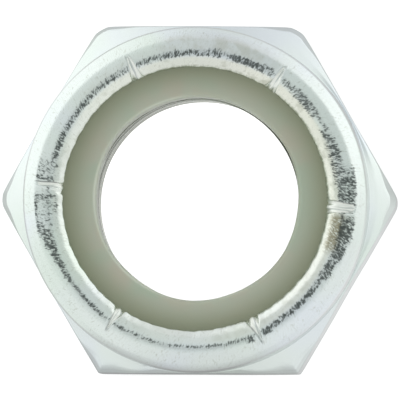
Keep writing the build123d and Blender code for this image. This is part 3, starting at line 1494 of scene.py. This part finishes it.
        # frost in the crimps, partly a painted highlight
        frost_and_highlight = self.masked(wiring, "crimped", streaks, self.frost_highlight_streaks)
        colour = wiring.mix(frost_and_highlight, colour, solid(self.frost_and_highlight))
        # painted shadow lines beside the crimps
        crease_shadows = wiring.math("MULTIPLY", self.mark(wiring, "crease_shadow_mark"), self.crease_shadow_share)
        # painted shade streaks in the crimps
        dark = wiring.math("MAXIMUM", self.masked(wiring, "crimped", streaks, self.shade_streaks), crease_shadows)
        # crazing, partly painted dark reflection
        dark = wiring.math("MAXIMUM", self.cracks(wiring, crazed_and_reflection, pattern), dark)
        colour = wiring.mix(dark, colour, solid(self.crack_and_shade))
        rough = wiring.swing(grain, self.roughness_swing, self.roughness)
        rough = wiring.math("MULTIPLY_ADD", crimped, self.crimp_roughness, rough)
        worked = wiring.math("MULTIPLY", self.mark(wiring, "worked"), self.worked_relief)
        relief = wiring.math("MULTIPLY", wiring.swing(pattern, 1.0), wiring.math("MAXIMUM", crazed_and_reflection, worked))
        relief = wiring.math("MULTIPLY_ADD", wiring.swing(streaks, 1.0), crimped, relief)
        relief = wiring.math("MULTIPLY_ADD", grain, self.grain_relief, relief)
        bump = wiring.node("Bump", {"Strength": 1.0, "Distance": self.relief * MM, "Height": relief})
        metal = wiring.math("MULTIPLY_ADD", frost_and_highlight, self.frost_metal, 1.0)
        look = {"Base Color": colour, "Roughness": rough, "Metallic": metal, "Normal": bump.outputs["Normal"]}
        shader = wiring.node("BsdfPrincipled", look)
        wiring.node("OutputMaterial", {"Surface": shader.outputs["BSDF"]})
        return made


@dataclass(frozen=True)
class Nylon:
    """Grey-green moulded nylon, slightly waxy, darker towards the rim by painted shade from the lip and pale
    at the bore by painted light from below.
    """

    effects: Effects
    colour: Colour = (0.711, 0.736, 0.667)
    warm: Colour = (0.73, 0.722, 0.655)
    green: Colour = (0.688, 0.736, 0.66)
    clouds: float = 330.0
    tint: float = 1.0
    # painted shade: darker towards the rim, where the lip shades the ring
    lip_shadow: Colour = (0.615, 0.634, 0.537)
    lip_shadow_span: Ramp = Ramp(7.0 * MM, 9.0 * MM)
    # painted light: paler at the bore, where light from the floor below reaches it
    pale: Colour = (0.82, 0.845, 0.785)
    painted_bore_light: Ramp = Ramp(7.12 * MM, 6.95 * MM)
    speck: Colour = (0.42, 0.42, 0.36)
    grains: float = 1800.0
    specks: float = 420.0
    roughness: float = 0.42
    roughness_swing: float = 0.12
    relief: float = 0.004
    glow: float = 0.25
    glow_colour: Colour = (1.0, 0.9, 0.7)
    glow_depth: float = 0.6

    def material(self) -> bpy.types.Material:
        """Builds the finish.

        Returns:
            The material.
        """
        made, wiring = new_material("moulded_nylon")
        tints = {
            "Colour": solid(self.colour),
            "First Tint": solid(self.warm),
            "Second Tint": solid(self.green),
            "Clouds": self.clouds,
            "Strength": self.tint,
        }
        colour = wiring.group(self.effects.drift, tints)["Colour"]
        grain = wiring.group(self.effects.grain, {"Grains": self.grains, "Specks": self.specks})
        radius = wiring.radius(wiring.place())
        # painted shade towards the rim, painted light at the bore
        colour = wiring.mix(wiring.step(radius, self.lip_shadow_span), colour, solid(self.lip_shadow))
        colour = wiring.mix(wiring.step(radius, self.painted_bore_light), colour, solid(self.pale))
        colour = wiring.mix(grain["Specks"], colour, solid(self.speck))
        bump = wiring.node("Bump", {"Strength": 1.0, "Distance": self.relief * MM, "Height": grain["Height"]})
        look = {
            "Base Color": colour,
            "Roughness": wiring.swing(grain["Height"], self.roughness_swing, self.roughness),
            "Normal": bump.outputs["Normal"],
            "Subsurface Weight": self.glow,
            "Subsurface Radius": self.glow_colour,
            "Subsurface Scale": self.glow_depth * MM,
        }
        shader = wiring.node("BsdfPrincipled", look)
        wiring.node("OutputMaterial", {"Surface": shader.outputs["BSDF"]})
        return made


# Studio


@dataclass
class Studio:
    """A pale floor, a soft white tent with a grey panel and a dark spot overhead, and the camera.

    What the nut mirrors changes round it, by level directions that are called headings here. To the camera
    the floor is white but for the nut's shadow, and to the rays that light the nut it is plain card.
    """

    rings: tuple[float, ...] = (0.001, 8.0, 20.0, 60.0, 200.0, 600.0)
    spokes: int = 64
    floor_drop: float = 0.002
    card: float = 0.90
    seen_tone: float = 0.86
    # painted light under the bore for the camera, lifting the floor there to white
    seen_light: Ramp = Ramp(8.5 * MM, 10.5 * MM, 0.97, 0.60)
    mirrored_tone: float = 0.35
    # painted shadow near the nut in reflections, with painted light towards 330 and 150 degrees
    near_light: Lobe = Lobe(330.0, Ramp(0.8, 1.0, 0.54, 0.78))
    near_gain: Lobe = Lobe(150.0, Ramp(0.9, 1.0, 0.0, 0.25))
    far_start: Ramp = Ramp(24.0 * MM, 29.0 * MM)
    far_share: float = 0.93
    far_dip: Lobe = Lobe(90.0, Ramp(-0.6, -1.0, 0.0, 0.12))
    # painted shadow in front of the nut in reflections
    front: Lobe = Lobe(262.0, Ramp(0.78, 0.97))
    front_light: float = 0.69
    front_fall: float = 5.2
    # even painted light under the bore in reflections
    bore_edge: Ramp = Ramp(10.0 * MM, 8.5 * MM)
    bore_light: float = 0.85
    sweep_light: Lobe = Lobe(95.0, Ramp(-0.4, 0.35, 0.89, 1.17))
    sweep_side: float = -7.5
    sweep_dip: Ramp = Ramp(0.85, 0.0, 0.0, 0.4)
    sweep_back: Lobe = Lobe(90.0, Ramp(0.0, 0.4))
    sweep_front: Lobe = Lobe(90.0, Ramp(-0.85, -1.0, 0.0, 0.105))
    least_rise: float = 0.05
    panel_edge: Ramp = Ramp(0.53, 0.46)
    panel_back: Ramp = Ramp(-0.17, -0.09)
    panel: Colour = (0.75, 0.77, 0.765)  # a level of light, as are the next one and the spot's
    panel_right: Colour = (0.64, 0.67, 0.66)
    right: Lobe = Lobe(15.0, Ramp(0.2, 0.9))
    spot_edge: Ramp = Ramp(0.08, 0.02)
    spot: Colour = (0.42, 0.43, 0.43)
    target: tuple[float, float, float] = (0.13, -0.01, 12.0)
    lean: Span = (0.0255, -0.0185)
    turn: float = 0.25
    distance: float = 1000.0
    view_width: float = 27.448
    sensor: float = 36.0
    clip: Span = (50.0, 5000.0)

    def make_floor(self) -> None:
        """Makes the floor: a disc of rings, (radius * cos t, radius * sin t), just under the nut."""
        radius = np.array(self.rings)[:, None]
        angle = np.linspace(0, TURN, self.spokes + 1)[None, ::-1]
        level = np.zeros_like(radius * angle) - self.floor_drop
        points = np.stack([radius * np.cos(angle), radius * np.sin(angle), level], axis=-1)
        floor, _ = make_object("floor", points, self.floor_material())

    def floor_material(self) -> bpy.types.Material:
        """Pale card with the nut's shadow, lifted to white for the camera and to other levels in reflections.

        In reflections the level in front of the nut is light - fall / distance, a painted shadow; near the
        nut it is lower but for lobes of painted light towards 330 and 150 degrees, and under the bore it is
        an even painted light. To the camera the floor is lifted more under the bore, painted light that hides
        the shade there.

        Returns:
            The material.
        """
        made, wiring = new_material("pale_card")
        place = wiring.place()
        away = wiring.vector("LENGTH", place)
        heading = wiring.vector("NORMALIZE", place)
        near = wiring.math("ADD", wiring.lobe(heading, self.near_light), wiring.lobe(heading, self.near_gain))
        far = wiring.math("MULTIPLY", self.sweep(wiring, heading), self.far_share)
        far = wiring.math("SUBTRACT", far, wiring.lobe(heading, self.far_dip))
        level = wiring.between(wiring.step(away, self.far_start), near, far)
        falling = wiring.math("DIVIDE", self.front_fall * MM, away)
        falling = wiring.math("SUBTRACT", self.front_light, falling)
        level = wiring.between(wiring.lobe(heading, self.front), level, falling)
        level = wiring.between(wiring.step(away, self.bore_edge), level, self.bore_light)
        path = wiring.node("LightPath").outputs
        mirrored = wiring.math("MAXIMUM", path["Is Glossy Ray"], path["Is Transmission Ray"])
        card = wiring.node("BsdfDiffuse", {"Color": grey(self.card)}).outputs[0]
        lifted = self.lifted(wiring, self.mirrored_tone, level)
        shown = wiring.node("MixShader", {0: mirrored, 1: card, 2: lifted}).outputs[0]
        seen = self.lifted(wiring, self.seen_tone, wiring.step(away, self.seen_light))
        shown = wiring.node("MixShader", {0: path["Is Camera Ray"], 1: shown, 2: seen}).outputs[0]
        wiring.node("OutputMaterial", {"Surface": shown})
        return made

    @staticmethod
    def lifted(wiring: Wiring, tone: float, level: Socket) -> Socket:
        """Card that takes shadows, with light added to it.

        Args:
            wiring: the material's wiring.
            tone: the card's grey.
            level: the light.

        Returns:
            The shader.
        """
        card = wiring.node("BsdfDiffuse", {"Color": grey(tone)}).outputs[0]
        light = wiring.node("Emission", {"Color": grey(1.0), "Strength": level}).outputs[0]
        return wiring.node("AddShader", {0: card, 1: light}).outputs[0]

    def light_tent(self) -> None:
        """Lights the nut from all round, and shows the camera plain white.

        The slope of the nut that mirrors a direction (x, y, z) upwards is (x, y) / (1 + z). The panel is a
        disc in that slope without its front, darker to the right, and the spot a small disc in its middle.
        """
        world = bpy.data.worlds.new("light_tent")
        bpy.context.scene.world = world
        world.use_nodes = True
        wiring = Wiring(world.node_tree)
        parts = wiring.node("SeparateXYZ", {0: wiring.node("TexCoord").outputs["Generated"]}).outputs
        rise = wiring.math("MAXIMUM", wiring.math("ADD", parts[2], 1.0), self.least_rise)
        slope = {index: wiring.math("DIVIDE", parts[index], rise) for index in (0, 1)}
        slope = wiring.node("CombineXYZ", slope).outputs[0]
        steep = wiring.vector("LENGTH", slope)
        heading = wiring.vector("NORMALIZE", slope)
        level = self.sweep(wiring, heading)
        level = wiring.node("CombineColor", {0: level, 1: level, 2: level}).outputs[0]
        backwards = wiring.math("MULTIPLY", steep, wiring.towards(heading, self.sweep_back.turn))
        panel = wiring.step(steep, self.panel_edge)
        panel = wiring.math("MULTIPLY", panel, wiring.step(backwards, self.panel_back))
        shade = wiring.mix(wiring.lobe(heading, self.right), (*self.panel, 1.0), (*self.panel_right, 1.0))
        level = wiring.mix(panel, level, shade)
        level = wiring.mix(wiring.step(steep, self.spot_edge), level, (*self.spot, 1.0))
        path = wiring.node("LightPath").outputs
        tent = wiring.node("Background", {"Color": level, "Strength": 1.0}).outputs[0]
        white = wiring.node("Background", {"Color": grey(1.0), "Strength": 1.0}).outputs[0]
        shown = wiring.node("MixShader", {0: path["Is Camera Ray"], 1: tent, 2: white}).outputs[0]
        wiring.node("OutputWorld", {"Surface": shown})

    def sweep(self, wiring: Wiring, heading: Socket) -> Socket:
        """Light round the nut: brightest at both sides of the back, with a dip straight behind and in front.

        Args:
            wiring: the wiring of the material or world.
            heading: level directions from the nut.

        Returns:
            The level.
        """
        side = wiring.math("ABSOLUTE", wiring.towards(heading, self.sweep_side))
        dip = wiring.step(side, self.sweep_dip)
        dip = wiring.math("MULTIPLY", dip, wiring.lobe(heading, self.sweep_back))
        level = wiring.math("SUBTRACT", wiring.lobe(heading, self.sweep_light), dip)
        return wiring.math("SUBTRACT", level, wiring.lobe(heading, self.sweep_front))

    def set_camera(self) -> None:
        """Places the camera above the nut, leaning a little right and to the front, with a long lens."""
        data = bpy.data.cameras.new("camera")
        data.sensor_width = self.sensor
        data.lens = self.sensor * self.distance / self.view_width
        data.clip_start, data.clip_end = (reach * MM for reach in self.clip)
        camera = bpy.data.objects.new("camera", data)
        bpy.context.scene.collection.objects.link(camera)
        back = Vector((*self.lean, 1.0)) * self.distance * MM
        camera.location = Vector(self.target) * MM + back
        camera.rotation_mode = "QUATERNION"
        forward = -back.normalized()
        turn = math.radians(self.turn)
        right = forward.cross(Vector((-math.sin(turn), math.cos(turn), 0.0))).normalized()
        basis = Matrix((right, right.cross(forward), -forward)).transposed()
        camera.rotation_quaternion = basis.to_quaternion()
        bpy.context.scene.camera = camera


def main() -> None:
    """Builds the nut, its ring and the studio, in that order."""
    logging.basicConfig(level=logging.INFO, format="%(name)s: %(message)s")
    effects = Effects()
    SteelBody().make(ZincPlating(effects).material())
    NylonRing().make(Nylon(effects).material())
    studio = Studio()
    studio.make_floor()
    studio.light_tent()
    studio.set_camera()
    bpy.context.scene.view_settings.view_transform = "Standard"


if __name__ == "__main__":
    main()
